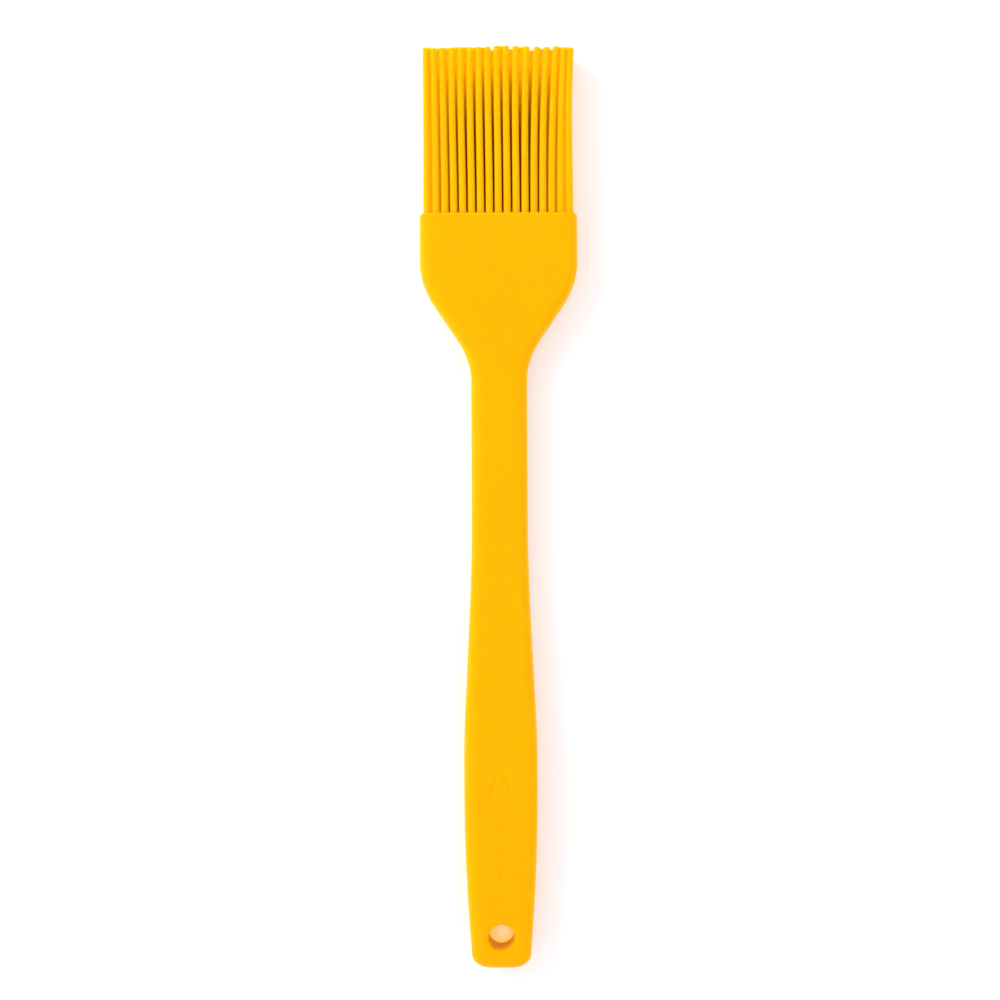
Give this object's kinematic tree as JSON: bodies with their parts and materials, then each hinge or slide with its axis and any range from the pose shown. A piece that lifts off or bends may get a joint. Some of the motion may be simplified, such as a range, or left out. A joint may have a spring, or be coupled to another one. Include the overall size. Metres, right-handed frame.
{
  "type": "silicone basting brush",
  "caption": "Flat silicone basting brush: soft-covered handle with a hanging hole, wide collar and a block of round bristles that bend.",
  "frame": {"origin": "under the middle of the brush's length and width, on the surface it lies on", "axes": "+X to the right seen from the front, +Y along the brush to the bristle tips, +Z out of the front face and along the hanging hole"},
  "size_m": [0.0478, 0.28, 0.014],
  "materials": {
    "silicone": "matte, food-grade silicone",
    "core_nylon": "matte, glass-filled nylon"
  },
  "bodies": {
    "handle": {"silicone_body": "silicone", "handle_core": "core_nylon"},
    "bristle_row_1": {"bristle_row_1": "silicone"},
    "bristle_row_2": {"bristle_row_2": "silicone"},
    "bristle_row_3": {"bristle_row_3": "silicone"},
    "bristle_row_4": {"bristle_row_4": "silicone"},
    "bristle_row_5": {"bristle_row_5": "silicone"}
  },
  "joints": [
    {"name": "bristle_row_1_bend", "type": "hinge", "parent": "handle", "child": "bristle_row_1", "pos_m": [0, 0.09027, 0.01168], "axis": [1, 0, 0], "range_deg": [-20, 20], "stiffness_Nm_per_rad": 0.007},
    {"name": "bristle_row_2_bend", "type": "hinge", "parent": "handle", "child": "bristle_row_2", "pos_m": [0, 0.09027, 0.00934], "axis": [1, 0, 0], "range_deg": [-20, 20], "stiffness_Nm_per_rad": 0.007},
    {"name": "bristle_row_3_bend", "type": "hinge", "parent": "handle", "child": "bristle_row_3", "pos_m": [0, 0.09027, 0.007], "axis": [1, 0, 0], "range_deg": [-20, 20], "stiffness_Nm_per_rad": 0.007},
    {"name": "bristle_row_4_bend", "type": "hinge", "parent": "handle", "child": "bristle_row_4", "pos_m": [0, 0.09027, 0.00466], "axis": [1, 0, 0], "range_deg": [-20, 20], "stiffness_Nm_per_rad": 0.007},
    {"name": "bristle_row_5_bend", "type": "hinge", "parent": "handle", "child": "bristle_row_5", "pos_m": [0, 0.09027, 0.00232], "axis": [1, 0, 0], "range_deg": [-20, 20], "stiffness_Nm_per_rad": 0.007}
  ],
  "couplings": [
    {"joint": "bristle_row_1_bend", "follows": "bristle_row_3_bend", "ratio": 1},
    {"joint": "bristle_row_2_bend", "follows": "bristle_row_3_bend", "ratio": 1},
    {"joint": "bristle_row_4_bend", "follows": "bristle_row_3_bend", "ratio": 1},
    {"joint": "bristle_row_5_bend", "follows": "bristle_row_3_bend", "ratio": 1}
  ]
}
